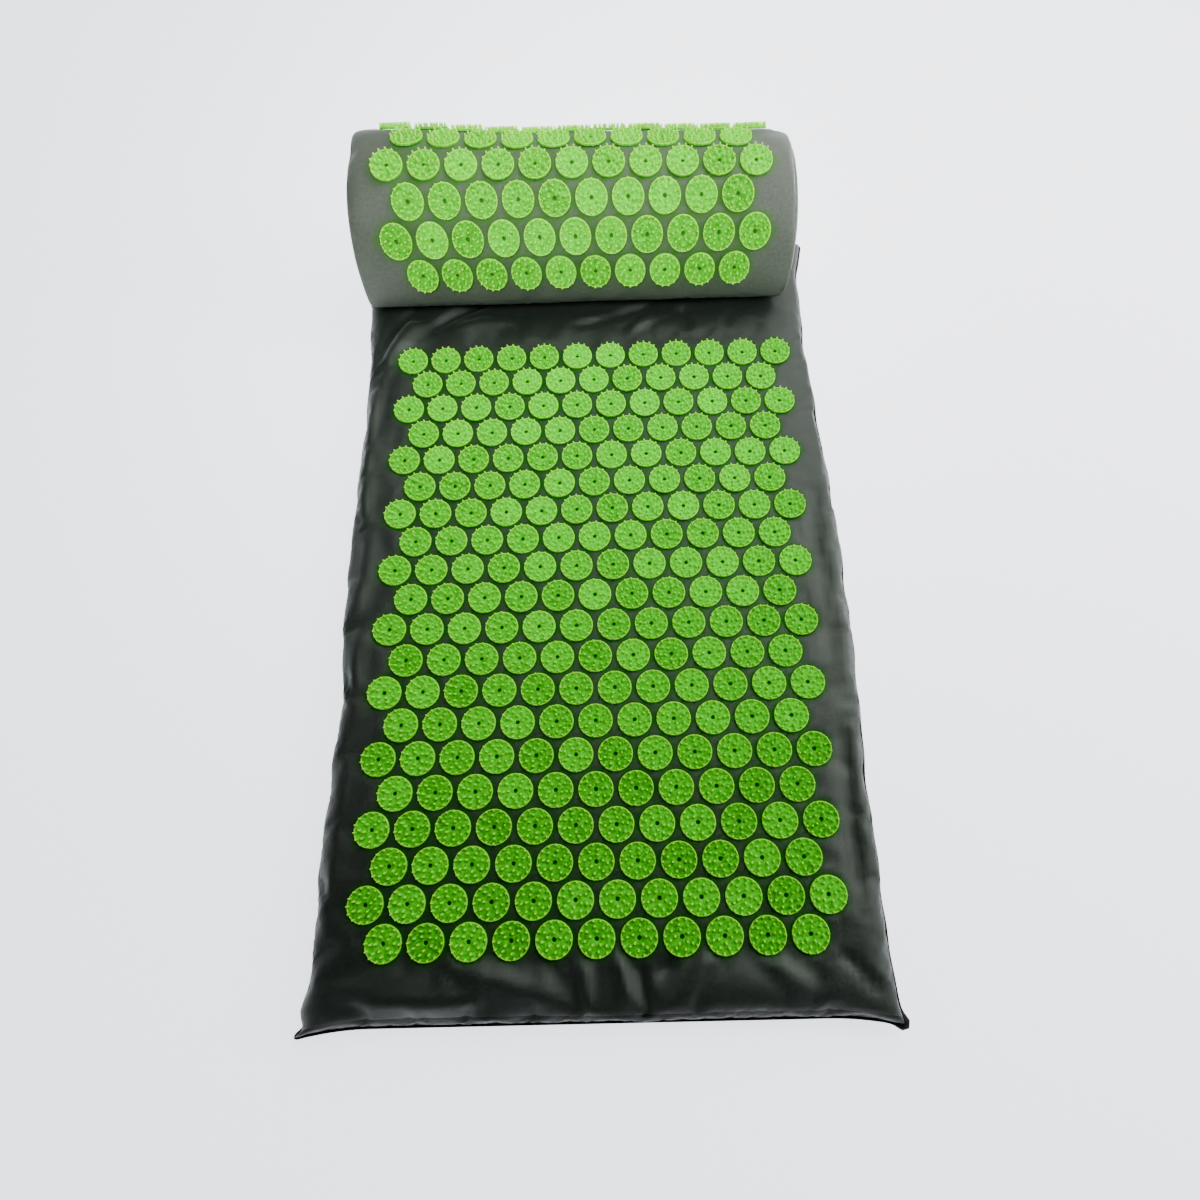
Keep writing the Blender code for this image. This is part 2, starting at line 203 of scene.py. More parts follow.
# Pillow
pillow_ear = 0.005
pillow_rows = 8
pillow_wall = 0.024
pillow_tuck = 0.015
pillow_foot_run = 0.022
pillow_end_runs = (0.022, 0.044)
pillow_end_draws = (0.0035, 0.015)
pillow_end_swells = (0.012, 0.003)
pillow_end_start = 0.150
pillow_corner_tuck = 0.022
pillow_corner_height = 0.040
pillow_lean = 0.0022
pillow_back_rise = 0.007
carry_least = 0.00005
flat_run = 0.007
foot_lift_run = 0.01
ridge_half_width = 0.001
ridge_half_height = 0.0008
foam_end_inset = 0.016
foam_columns = 40
foam_rows = 60
pillow_end_puff = 0.0065
pillow_end_power = 2.4
pillow_end_rings = 10
end_middle_share = 0.42
puff_spread = 2.6
puff_blunt = 0.9
pillow_step = 0.004
pillow_fine_steps = 4000
arch_slope_step = 0.002
pillow_low, pillow_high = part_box("pillow_cover_base")
arch_low, arch_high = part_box("pillow_cover_top")
pillow_x = (pillow_low.x + pillow_high.x) / 2
pillow_y = (pillow_low.y + pillow_high.y) / 2
pillow_z = pillow_low.z
pillow_half_x = (arch_high.x - arch_low.x) / 2
pillow_half_y = (arch_high.y - arch_low.y) / 2
base_half_y = (pillow_high.y - pillow_low.y) / 2 - pillow_ear
pillow_rise = arch_high.z - pillow_low.z - pillow_wall
pillow_waves = ((0.19, 0.3, 0.0004), (0.11, 1.7, 0.0004), (0.14, 2.6, 0.0003))
wave_fade = 0.03
arch_sink = 0.0006
zip_walk = 0.104

# Puckers that a seam draws into the cloth beside it
pucker_height = 0.00006
pucker_length = 0.0095
pucker_drift = 3.5
pucker_drift_span = 5.7
pucker_gap_span = 4.3
pucker_run = 0.012

# How the cloth panels settle: pressure, growth and the furthest that a point goes
mat_settling = (1.2, 0.010, 0.0035)
arch_settling = (2.5, 0.006, 0.004)
end_settling = (1.5, 0.01, 0.003)
cloth_frames = 20

# Camera, from the disc centres in the photograph
camera_place = (0.0391, -0.2319, 0.5210)
camera_turn = (radians(15.758), radians(0.699), radians(-1.346))
camera_lens = 19.138
camera_shift = (-0.0334, 0.0583)
sensor_width = 36
camera_clip = 0.01

# Colour of the light from all round
daylight = (0.9, 0.93, 1)

# Lamps: place, target, size, power and beam
lamps = {
    "key": ((0.65, 0.5, 1.15), (0, 0.05, 0), 0.9, 7.5, pi),
    "front": ((-0.05, -0.4, 1.2), (-0.04, 0.36, 0.03), 0.5, 1.35, radians(36)),
    "side": ((1.3, 0.2, 0.7), (0.15, 0, 0), 0.6, 14, pi),
    "back": ((0.3, 0.95, 0.9), (0, 0.1, 0), 1.1, 13, pi),
}

# Floor: each ring has a radius, a height and a share of the full glow
floor_glow = 2.3
floor_drop = 0.0003
floor_turns = 72
floor_rings = (
    (2.4, 0.0, 1.0), (3.0, 0.0, 0.8), (3.5, 0.02, 0.55), (4.0, 0.12, 0.36),
    (4.4, 0.32, 0.22), (4.7, 0.62, 0.14), (4.9, 1.0, 0.09), (5.0, 1.6, 0.05), (5.05, 3.0, 0.03),
)

# Zips
coil_pitch = 0.00125
coil_lean = 0.22
coil_sides = 6
coil_forward = 0.15
coil_offset = 0.25
coil_reach = 0.75
coil_thick = 0.72
stitch_pitch = 0.0032
stitch_length = 0.0022
stitch_radius = 0.00022
stitch_sides = 5
stitch_lines = {"upper": 0.72, "lower": 0.28}
tape_ripple = 0.00012
tape_ripple_length = 0.013
tape_columns = 160
tape_rows = 7
stop_round = 0.0004
slider_round = 0.0003
slider_wall = 0.0012
slider_depth = 0.0031
bridge_bar = 0.001
bridge_half_width = 0.0012
bridge_reach = 0.84
bridge_steps = 8
bridge_swell = 1.35
pull_round = 0.0002
pull_sides = 24
window_near = 0.0005
window_far = 0.0052
window_half_height = 0.0016
pull_waist = 0.82

# Sections of a rod with rounded ends: share of its half length, and of its radius
rod_sections = ((-1, 0.35), (-0.85, 0.8), (-0.6, 1), (0.6, 1), (0.85, 0.8), (1, 0.35))

# Half outlines of a slider's plate and of its flanges, in shares of its half sizes
shield = ((-1, 0.72), (-0.8, 0.95), (0.35, 1), (0.8, 0.92), (1, 0.62))
flange = ((-0.8, 0.68), (-0.8, 0.95), (0.35, 1), (0.8, 0.92), (0.8, 0.68))


# Nodes

def new_material(name):
    """An empty node material, with its tree and its shader."""
    made = bpy.data.materials.new(name)
    made.use_nodes = True
    tree = made.node_tree
    return made, tree, tree.nodes["Principled BSDF"]


def plug(tree, socket, value):
    """Link a socket to another, or set its value."""
    if isinstance(value, bpy.types.NodeSocket):
        tree.links.new(value, socket)
    else:
        socket.default_value = value


def set_inputs(node, **values):
    """Set a node's own values, by their titles with _ for a space."""
    for title, value in values.items():
        node.inputs[title.replace("_", " ")].default_value = value


def sums(tree, operation, first, second=0):
    """One step of arithmetic on sockets or numbers."""
    step = tree.nodes.new("ShaderNodeMath")
    step.operation = operation
    plug(tree, step.inputs[0], first)
    plug(tree, step.inputs[1], second)
    return step.outputs[0]


def attribute(tree, name):
    """A value that the mesh carries."""
    made = tree.nodes.new("ShaderNodeAttribute")
    made.attribute_name = name
    return made


def object_place(tree):
    """The place on the piece, which moves with it."""
    return tree.nodes.new("ShaderNodeTexCoord").outputs["Object"]


def speckle(tree, place, size, detail=2, roughness=0.5):
    """Noise from 0 to 1, with spots of the given size in metres."""
    made = tree.nodes.new("ShaderNodeTexNoise")
    plug(tree, made.inputs["Vector"], place)
    set_inputs(made, Scale=1 / size, Detail=detail, Roughness=roughness)
    return made.outputs["Fac"]


def stretch(tree, value, low, high, to_low=0, to_high=1):
    """Map a range of values to another, held at its ends."""
    made = tree.nodes.new("ShaderNodeMapRange")
    made.clamp = True
    plug(tree, made.inputs["Value"], value)
    set_inputs(made, From_Min=low, From_Max=high, To_Min=to_low, To_Max=to_high)
    return made.outputs["Result"]


def blend_colours(tree, share, first, second):
    """A colour between two, by a share from 0 to 1."""
    made = tree.nodes.new("ShaderNodeMix")
    made.data_type = "RGBA"
    plug(tree, made.inputs["Factor"], share)
    for socket, colour in ((made.inputs[6], first), (made.inputs[7], second)):
        plug(tree, socket, colour if isinstance(colour, bpy.types.NodeSocket) else (*colour, 1))
    return made.outputs[2]


def paint(tree, shader, share, first, second):
    """Colour the shader between two colours, by a share."""
    plug(tree, shader.inputs["Base Color"], blend_colours(tree, share, first, second))


def roughen(tree, shader, value, least, most):
    """Roughness between two values, by a noise."""
    plug(tree, shader.inputs["Roughness"], stretch(tree, value, *noise_range, least, most))


def bump(tree, shader, height, distance, strength=1):
    """Relief, on top of what the shader has already."""
    made = tree.nodes.new("ShaderNodeBump")
    set_inputs(made, Strength=strength, Distance=distance)
    plug(tree, made.inputs["Height"], height)
    earlier = shader.inputs["Normal"].links
    if earlier:
        plug(tree, made.inputs["Normal"], earlier[0].from_socket)
    plug(tree, shader.inputs["Normal"], made.outputs["Normal"])


# Materials

def woven_cloth(name, dark, light, gloss, sheen, yarn=yarn_width, painted_disc_light=(0, 0, 0)):
    """Plain weave with a faint gloss, uneven yarns and worn patches. Beside the discs: painted green light
    from them, painted shade, and a dimmer, greener gloss.
    """
    made, tree, shader = new_material(name)
    place = attribute(tree, "weave").outputs["Vector"]
    split = tree.nodes.new("ShaderNodeSeparateXYZ")
    plug(tree, split.inputs[0], place)
    turns = 2 * pi / yarn
    warp = sums(tree, "SINE", sums(tree, "MULTIPLY", split.outputs["X"], turns))
    weft = sums(tree, "SINE", sums(tree, "MULTIPLY", split.outputs["Y"], turns))
    crossing = sums(tree, "MULTIPLY", warp, weft)
    slub = speckle(tree, place, yarn * slub_spread, 3)
    patch = speckle(tree, object_place(tree), patch_size, 3)
    shade = sums(tree, "ADD", sums(tree, "MULTIPLY", crossing, 0.12), slub)
    shade = sums(tree, "ADD", shade, sums(tree, "MULTIPLY", patch, 0.7))
    body = blend_colours(tree, stretch(tree, shade, 0.45, 1.25), dark, light)
    # Beside the discs the colour goes to the cast colour: painted green light from the discs, with painted
    # shade
    near = attribute(tree, "near_disc").outputs["Fac"]
    paint(tree, shader, near, body, painted_disc_light)
    roughen(tree, shader, slub, 0.38, 0.5)
    set_inputs(shader, Specular_IOR_Level=gloss, Specular_Tint=(*cloth_tint, 1),
               Sheen_Weight=sheen, Sheen_Roughness=0.4, Sheen_Tint=(0.82, 0.97, 0.8, 1))
    # Beside the discs the gloss is dimmed and tinted green: painted shade, tinted by the discs' painted light
    if any(painted_disc_light):
        painted_shade_tint = [painted_shade_gloss * part / max(painted_disc_light) for part in painted_disc_light]
        plug(tree, shader.inputs["Specular Tint"], blend_colours(tree, near, cloth_tint, painted_shade_tint))
    bump(tree, shader, crossing, crossing_relief, 0.5)
    bump(tree, shader, slub, slub_relief, 0.4)
    return made


def spiked_plastic(name, deep, bright, pale):
    """Moulded plastic with painted highlights on its lip and towards its spike tips, each disc a little
    different.
    """
    made, tree, shader = new_material(name)
    tone = attribute(tree, "tone").outputs["Fac"]
    painted_highlight_share = attribute(tree, "pale").outputs["Fac"]
    cloud = speckle(tree, object_place(tree), cloud_size, 2)
    share = sums(tree, "ADD", sums(tree, "MULTIPLY", cloud, 0.85), sums(tree, "MULTIPLY", tone, 0.16))
    body = blend_colours(tree, stretch(tree, share, 0.28, 0.74), deep, bright)
    # The pale colour is a painted highlight, on the lip and towards the spike tips
    paint(tree, shader, painted_highlight_share, body, pale)
    grain = speckle(tree, object_place(tree), grain_size, 2)
    roughen(tree, shader, grain, 0.4, 0.55)
    set_inputs(shader, Specular_IOR_Level=0.04, Subsurface_Weight=0.15,
               Subsurface_Radius=(0.6, 1, 0.15), Subsurface_Scale=glow_depth)
    bump(tree, shader, grain, grain_relief, 0.5)
    return made


def cell_foam(name, colour, shade):
    """Open-cell foam."""
    made, tree, shader = new_material(name)
    place = object_place(tree)
    cells = tree.nodes.new("ShaderNodeTexVoronoi")
    plug(tree, cells.inputs["Vector"], place)
    set_inputs(cells, Scale=1 / cell_size)
    share = sums(tree, "MULTIPLY", cells.outputs["Distance"], speckle(tree, place, cell_patch_size, 2))
    paint(tree, shader, stretch(tree, share, 0, 0.5), shade, colour)
    set_inputs(shader, Roughness=0.95)
    bump(tree, shader, cells.outputs["Distance"], cell_relief, 0.8)
    return made


def zip_metal(name, colour, worn):
    """Dark plated metal, worn brighter in spots."""
    made, tree, shader = new_material(name)
    spots = speckle(tree, object_place(tree), worn_spot_size, 4, 0.6)
    paint(tree, shader, stretch(tree, spots, 0.5, 0.75), colour, worn)
    roughen(tree, shader, spots, 0.28, 0.45)
    set_inputs(shader, Metallic=0.9)
    bump(tree, shader, spots, worn_relief, 0.4)
    return made


def moulded_nylon(name, dark, light):
    """The coil of a zip, and sewing thread."""
    made, tree, shader = new_material(name)
    spots = speckle(tree, object_place(tree), nylon_spot_size, 2)
    paint(tree, shader, spots, dark, light)
    roughen(tree, shader, spots, 0.4, 0.6)
    bump(tree, shader, spots, grain_relief, 0.5)
    return made


# Meshes

def put_in_scene(name, data):
    """A new object in the scene."""
    made = bpy.data.objects.new(name, data)
    bpy.context.scene.collection.objects.link(made)
    return made


def add_object(name, points, faces, material, **values):
    """A smooth object, with the values its material reads at its points."""
    mesh = bpy.data.meshes.new(name)
    mesh.from_pydata(points, [], faces)
    mesh.materials.append(material)
    mesh.shade_smooth()
    for title, numbers in values.items():
        flat = np.asarray(numbers, dtype=float)
        kind, field = ("FLOAT_VECTOR", "vector") if flat.ndim == 2 else ("FLOAT", "value")
        mesh.attributes.new(title, kind, "POINT").data.foreach_set(field, flat.ravel())
    return put_in_scene(name, mesh)


def add_piece(name, points, faces, material, body, replaced=(), **values):
    """One named piece that rides on a body, in place of CAD nodes."""
    piece = add_object(name, points, faces, material, **values)
    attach(piece, body)
    if replaced:
        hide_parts(*replaced)
    return piece


def grid_faces(shape, first=0, flip=False):
    """Faces of a sheet of points stored row by row."""
    rows, columns = shape
    faces = []
    for row in range(rows - 1):
        for column in range(columns - 1):
            here = first + row * columns + column
            face = (here, here + 1, here + 1 + columns, here + columns)
            faces.append(face[::-1] if flip else face)
    return faces


def belt_faces(rings, sides, closed=False):
    """Faces between rings of points stored one after another."""
    faces = []
    for ring in range(rings if closed else rings - 1):
        near = ring * sides
        far = (ring + 1) % rings * sides
        for side in range(sides):
            after = (side + 1) % sides
            faces.append((near + side, near + after, far + after, far + side))
    return faces


def outward_belt(rings, sides):
    """The same faces, seen from the other side."""
    return [(a, d, c, b) for a, b, c, d in belt_faces(rings, sides)]


def moved_on(faces, first):
    """Faces whose points are stored after others."""
    return [tuple(first + corner for corner in face) for face in faces]


def turned_over(faces):
    """Faces that look the other way."""
    return [face[::-1] for face in faces]


def stacked(*layers):
    """Points from their X, Y and Z, one a row."""
    return np.stack(layers, -1).reshape(-1, 3)


def weave_at(along, across):
    """Where each point of a panel is in its own weave."""
    return stacked(along, across, 0 * along)


def border(shape):
    """True at the outermost points of a sheet."""
    rim = np.ones(shape, dtype=bool)
    rim[1:-1, 1:-1] = False
    return rim


def rim_path(shape):
    """Places of a sheet's border points, anticlockwise from its first."""
    rows, columns = shape
    path = list(range(columns))
    path.extend(row * columns + columns - 1 for row in range(1, rows))
    path.extend((rows - 1) * columns + column for column in range(columns - 2, -1, -1))
    path.extend(row * columns for row in range(rows - 2, 0, -1))
    return path


def circle(sides):
    """The corners of a regular outline of radius 1."""
    turns = [2 * pi * side / sides for side in range(sides)]
    return [(cos(turn), sin(turn)) for turn in turns]


def tube(path, radius_out, radius_up):
    """A tube of oval section along a path. Each path entry is a place, an outward and an upward way."""
    points = []
    for place, outward, upward in path:
        for out, up in circle(tube_sides):
            points.append(place + outward * radius_out * out + upward * radius_up * up)
    faces = outward_belt(len(path), tube_sides)
    faces.append(tuple(range(tube_sides)))
    faces.append(tuple(range(len(points) - tube_sides, len(points)))[::-1])
    return points, faces


def spread(half, step):
    """Places from one edge to the other, closer together near both."""
    inset = [edge_run * (number / edge_steps) ** 2 for number in range(edge_steps)]
    middle = half - edge_run
    count = max(2, round(2 * middle / step))
    inner = [-middle + 2 * middle * number / count for number in range(count + 1)]
    places = [number - half for number in inset] + inner + [half - number for number in inset[::-1]]
    return np.array(places)


def rise(distance, run, power):
    """0 at an edge and 1 where its rounding ends."""
    share = np.clip(np.asarray(distance) / run, 0, 1)
    return (1 - (1 - share) ** power) ** (1 / power)


def smooth_step(share):
    """A soft change from 0 to 1."""
    share = np.clip(share, 0, 1)
    return share * share * (3 - 2 * share)


def smooth_line(knots, places):
    """Values at places, along soft steps from knot to knot."""
    places = np.asarray(places)
    result = np.full(places.shape, knots[0][1], dtype=float)
    for (start, low), (end, high) in zip(knots, knots[1:]):
        share = smooth_step((places - start) / (end - start))
        result = result + (high - low) * share
    return result


def waves(x, y, kinds):
    """Slow waves of a face."""
    total = 0
    for number, (length, way, height) in enumerate(kinds):
        along = x * cos(way) + y * sin(way)
        total = total + height * np.sin(2 * pi * along / length + number)
    return total


def nearest(x, y, centres):
    """How far each point is from the nearest centre."""
    least = np.full(np.shape(x), np.inf)
    for across, along in centres:
        least = np.minimum(least, np.hypot(x - across, y - along))
    return least


def painted_disc_light_share(away):
    """How much painted green light from the discs, with painted shade, lies on the cloth, by the distance
    from their centres.
    """
    return painted_disc_light_most * (1 - smooth_step((away - disc_radius) / painted_disc_light_run))


def fold_heights(x, y, folds):
    """The height that the folds add. Each follows a bent line and fades at its ends."""
    total = np.zeros(np.shape(x))
    steps = np.linspace(0, 1, fold_steps)
    for start, bend, end, height, half_width in folds:
        best = np.full(np.shape(x), np.inf)
        fade = np.zeros(np.shape(x))
        for share in steps:
            weights = ((1 - share) ** 2, 2 * share * (1 - share), share ** 2)
            here = [sum(w * p[axis] for w, p in zip(weights, (start, bend, end))) for axis in (0, 1)]
            away = np.hypot(x - here[0], y - here[1])
            closer = away < best
            best = np.where(closer, away, best)
            inward = fold_fade_rate * min(share, 1 - share) + fold_fade_least
            fade = np.where(closer, smooth_step(inward), fade)
        total = total + height * fade * np.exp(-(best / half_width) ** 2)
    return total


# Cloth simulation

def settle(piece, held, pressure, growth, cap):
    """Let a cloth panel swell and buckle. Held points stay, and no point goes further than the cap."""
    group = piece.vertex_groups.new(name="held")
    group.add([int(place) for place in held], 1, "REPLACE")
    cloth = piece.modifiers.new("cloth", "CLOTH")
    rules = cloth.settings
    rules.quality = 6
    rules.mass = 0.15
    rules.tension_stiffness = 25
    rules.compression_stiffness = 25
    rules.shear_stiffness = 8
    rules.bending_stiffness = 0.6
    rules.vertex_group_mass = "held"
    rules.use_pressure = True
    rules.uniform_pressure_force = pressure
    rules.effector_weights.gravity = 0
    rules.shrink_min = -growth
    cloth.point_cache.frame_start = 1
    cloth.point_cache.frame_end = cloth_frames
    scene = bpy.context.scene
    for number in range(1, cloth_frames + 1):
        scene.frame_set(number)
    settled = piece.evaluated_get(bpy.context.evaluated_depsgraph_get())
    moved = [point.co.copy() for point in settled.data.vertices]
    piece.modifiers.remove(cloth)
    piece.vertex_groups.clear()
    for point, place in zip(piece.data.vertices, moved):
        step = place - point.co
        if step.length > cap:
            step *= cap / step.length
        point.co += step
    scene.frame_set(1)


def thicken(piece, thick=cloth_thick):
    """Give a cloth panel its thickness, on its inner side."""
    skin = piece.modifiers.new("cloth thickness", "SOLIDIFY")
    skin.thickness = thick
    skin.offset = -1


def weld(piece):
    """Join the points that lie on each other."""
    joined = piece.modifiers.new("weld", "WELD")
    joined.merge_threshold = weld_reach


def soften(piece, width):
    """Round a piece's edges."""
    bevel = piece.modifiers.new("rounding", "BEVEL")
    bevel.width = width
    bevel.segments = 2
    bevel.limit_method = "ANGLE"


# Places from the CAD

def measured(node):
    """The middle of a node's box, and half of its sizes."""
    low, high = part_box(node)
    middle = [(near + far) / 2 for near, far in zip(low, high)]
    half = [(far - near) / 2 for near, far in zip(low, high)]
    return middle, half


def row_places(node):
    """Places of the discs that fit a row's box, from its middle."""
    low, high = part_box(node)
    count = round((high.x - low.x - 2 * disc_radius) / disc_pitch) + 1
    return [(number - (count - 1) / 2) * disc_pitch for number in range(count)]


def mat_disc_rows():
    """The centres of each of the mat's rows, by node."""
    rows = {}
    for number in range(1, mat_rows + 1):
        node = f"mat_disc_row_{number:02d}"
        x, y, _ = measured(node)[0]
        rows[node] = [(x + place, y) for place in row_places(node)]
    return rows


def pillow_disc_rows():
    """The centres of each of the pillow's rows, as places along it and over its arch."""
    rows = {}
    for number in range(1, pillow_rows + 1):
        node = f"pillow_disc_row_{number}"
        walk = (number - (pillow_rows + 1) / 2) * mat_row_pitch
        rows[node] = [(place, walk) for place in row_places(node)]
    return rows


def places_along(node, pitch):
    """Places along a node's length, one for each pitch."""
    low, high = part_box(node)
    return [low.x + pitch * (number + 0.5) for number in range(int((high.x - low.x) / pitch))]


# Mat

def mat_face(x, y):
    """The height of the mat's face, without folds. It is flat under the pillow."""
    calm = smooth_step((calm_from - np.asarray(y)) / calm_run)
    return mat_thick + waves(x, y, mat_waves) * calm


def corner_near(place, half):
    """0 away from a corner, 1 at it."""
    return np.clip(1 - (half - np.abs(place)) / ear_run, 0, 1) ** 2


def mat_plan(x, y):
    """Where a point of the flat rectangle lies once its sides are drawn in and its ears drawn out."""
    draw = np.where(x < 0, smooth_line(left_draws, y), smooth_line(right_draws, y))
    ear_x = mat_ear * corner_near(y, mat_half_y)
    ear_y = mat_ear * corner_near(x, mat_half_x)
    wobble = sum(height * np.sin(2 * pi * y / length + start) for height, length, start in side_wobbles)
    wobble = wobble * (1 - corner_near(y, mat_half_y))
    plan_x = x * (mat_half_x + ear_x - draw - side_inset + wobble) / mat_half_x
    plan_y = y * (mat_half_y + ear_y - end_inset) / mat_half_y
    return plan_x, plan_y


def mat_sheet(step):
    """A sheet of points over the mat: its flat places, and where they lie in plan."""
    x, y = np.meshgrid(spread(mat_half_x, step), spread(mat_half_y, step))
    return x, y, *mat_plan(x, y)


def mat_edge_share(x, y, run, power):
    """0 at the mat's edges and 1 where their rounding ends."""
    return rise(mat_half_x - np.abs(x), run, power) * rise(mat_half_y - np.abs(y), run, power)


def quilt(away):
    """How far the cloth swells between the discs, by the distance from their centres."""
    return quilt_height * smooth_step((away - quilt_near) / (quilt_far - quilt_near))


def puckers(away, along):
    """Small gathers beside a seam."""
    fade = np.exp(-away / pucker_run)
    drift = pucker_drift * np.sin(2 * pi * along / (pucker_length * pucker_drift_span))
    uneven = 0.5 + 0.5 * np.sin(2 * pi * along / (pucker_length * pucker_gap_span) + 2)
    return pucker_height * fade * uneven * np.sin(2 * pi * along / pucker_length + drift)


def clear_folds(x, y, away):
    """The mat's folds, gone under the discs. Those that stand up are pressed flat under the pillow."""
    clear = smooth_step((away - fold_clear_near) / (fold_clear_far - fold_clear_near))
    folds = clear * fold_heights(x, y, mat_folds)
    pressed = smooth_step((y - pillow_y + pillow_half_y + fold_press_run) / fold_press_run)
    return np.where(folds > 0, folds * (1 - pressed), folds)


def mat_top_panel(cloth, painted_shade_band_cloth, centres):
    """The cloth face of the mat, wrapped down to the seam."""
    x, y, plan_x, plan_y = mat_sheet(panel_step)
    away = nearest(plan_x, plan_y, centres)
    face = mat_face(plan_x, plan_y) + quilt(away) + clear_folds(plan_x, plan_y, away)
    face = face + puckers(mat_half_x - np.abs(x), y) + puckers(mat_half_y - np.abs(y), x)
    height = seam_height + (face - seam_height) * mat_edge_share(x, y, edge_round, edge_power)
    points = stacked(plan_x, plan_y, height)
    # The last values say where the discs' painted green light and painted shade lie on the cloth
    piece = add_piece("mat_top_panel", points, grid_faces(x.shape), cloth, "mat", ["mat_cover_top"],
                      weave=weave_at(x, y), near_disc=painted_disc_light_share(away).ravel())
    darken_border(piece, painted_shade_band_cloth, x.shape[1] - 1)
    under_pillow = plan_y > pillow_y - pillow_half_y
    held = np.flatnonzero((away < quilt_near) | border(x.shape) | under_pillow)
    settle(piece, held, *mat_settling)
    thicken(piece)


def darken_border(piece, painted_shade_band_cloth, cells):
    """Give the outer band of the mat's face a darker, duller copy of its cloth: painted shade along the foot
    and the sides. Each row has as many faces as cells.
    """
    piece.data.materials.append(painted_shade_band_cloth)
    for face in piece.data.polygons:
        row, column = divmod(face.index, cells)
        if row < foot_band_rows or min(column, cells - 1 - column) < side_band_cells:
            face.material_index = 1


def mat_base_panel(cloth):
    """The cloth under the mat, wrapped up to the seam."""
    x, y, plan_x, plan_y = mat_sheet(base_step)
    height = seam_height * (1 - mat_edge_share(x, y, under_round, under_power))
    points = stacked(plan_x, plan_y, height)
    piece = add_piece("mat_base_panel", points, grid_faces(x.shape, flip=True), cloth, "mat",
                      ["mat_cover_base"], weave=weave_at(x, y))
    thicken(piece)


def foam_hollows(x, y):
    """Where the cloth's valleys press the foam down."""
    valleys = [(start, bend, end, height, foam_hollow_spread * half_width)
               for start, bend, end, height, half_width in mat_folds if height < 0]
    return fold_heights(x, y, valleys)


def mat_foam_pad(foam):
    """The slab inside the mat's cover."""
    x, y, plan_x, plan_y = mat_sheet(base_step)
    plan_x = plan_x * (1 - foam_inset / mat_half_x)
    plan_y = plan_y * (1 - foam_inset / mat_half_y)
    upper = mat_edge_share(x, y, edge_round, edge_power)
    lower = mat_edge_share(x, y, under_round, under_power)
    top = seam_height + (mat_thick - 2 * foam_inset - seam_height) * upper
    top = top + foam_hollows(plan_x, plan_y) * upper
    under = seam_height - (seam_height - foam_inset) * lower
    points = np.concatenate([stacked(plan_x, plan_y, height) for height in (top, under)])
    faces = grid_faces(x.shape) + grid_faces(x.shape, x.size, flip=True)
    piece = add_piece("mat_foam_pad", points, faces, foam, "mat", ["mat_foam"])
    weld(piece)


def mat_sewn_edge(cloth):
    """The sewn edge round the mat, open where the zip is, with a knob at the foot's right corner."""
    plan_x, plan_y = mat_sheet(panel_step)[2:]
    ring = [Vector((plan_x.flat[place], plan_y.flat[place], seam_height))
            for place in rim_path(plan_x.shape)]
    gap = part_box("mat_zip_tape_upper")[1].x + seat_gap
    opening = [number for number, place in enumerate(ring) if place.y > mat_half_y / 2 and abs(place.x) < gap]
    start = opening[-1] + 1
    order = (ring[start:] + ring[:start])[:-len(opening)]
    corner = max(order, key=lambda place: place.x - place.y)
    path = []
    for before, place, after in zip(order[:1] + order, order, order[1:] + order[-1:]):
        outward = (after - before).normalized().cross(Vector((0, 0, 1)))
        swell = 1 + knob_swell * exp(-((place - corner).length / knob_run) ** 2)
        path.append((place + outward * (seam_lip / 2 - seat_gap), outward * swell, Vector((0, 0, swell))))
    points, faces = tube(path, seam_lip / 2 + seat_gap, seam_lip_thick / 2)
    weave = [(point.x + point.y, point.z, 0) for point in points]
    piece = add_piece("mat_sewn_edge", points, faces, cloth, "mat", ["mat_edge_seam"], weave=weave)


# Pillow

def arch_table():
    """Depths and heights of the arch and its tucked foot by the distance walked from its top."""
    turns = np.linspace(0, pi / 2, pillow_fine_steps)
    down = np.linspace(0, 1, pillow_fine_steps)[1:]
    y = np.append(pillow_half_y * np.sin(turns), pillow_half_y - pillow_tuck * down ** 2)
    foot_drop = pillow_wall - cloth_thick
    z = np.append(pillow_wall + pillow_rise * np.cos(turns), pillow_wall - foot_drop * down)
    walked = np.concatenate([[0], np.cumsum(np.hypot(np.diff(y), np.diff(z)))])
    return walked, y, z


arch_walk, arch_y, arch_z = arch_table()
arch_reach = arch_walk[-1]
arch_rows = np.linspace(-arch_reach, arch_reach, round(2 * arch_reach / pillow_step))


def arch_at(away):
    """Depth and height of the arch at a distance walked from its top."""
    return np.interp(away, arch_walk, arch_y), np.interp(away, arch_walk, arch_z)


def arch_place(walk):
    """A point of the arch and its outward way, in the pillow's own Y and Z."""
    side = np.sign(walk)
    away = np.abs(walk)
    y, z = arch_at(away)
    near_y, near_z = arch_at(np.maximum(away - arch_slope_step, 0))
    far_y, far_z = arch_at(np.minimum(away + arch_slope_step, arch_reach))
    step_y, step_z = far_y - near_y, far_z - near_z
    length = np.hypot(step_y, step_z)
    return side * y, z, -side * step_z / length, step_y / length


def end_share(x):
    """0 over the pillow's discs, 1 at its ends."""
    return smooth_step((np.abs(x) - pillow_end_start) / (pillow_half_x - pillow_end_start))


def end_swell(x, foot):
    """How far each end stands out. The left one does at its front foot."""
    left, right = pillow_end_swells
    return end_share(x) * np.where(x < 0, -left * foot, right)


def corner_tuck(x, to_front):
    """How far the front right corner is drawn in, which rounds it."""
    share = np.clip(1 - to_front / pillow_corner_height, 0, 1)
    fall = 1 - np.sqrt(1 - share ** 2)
    return np.where(x > 0, pillow_corner_tuck * fall * end_share(x), 0)


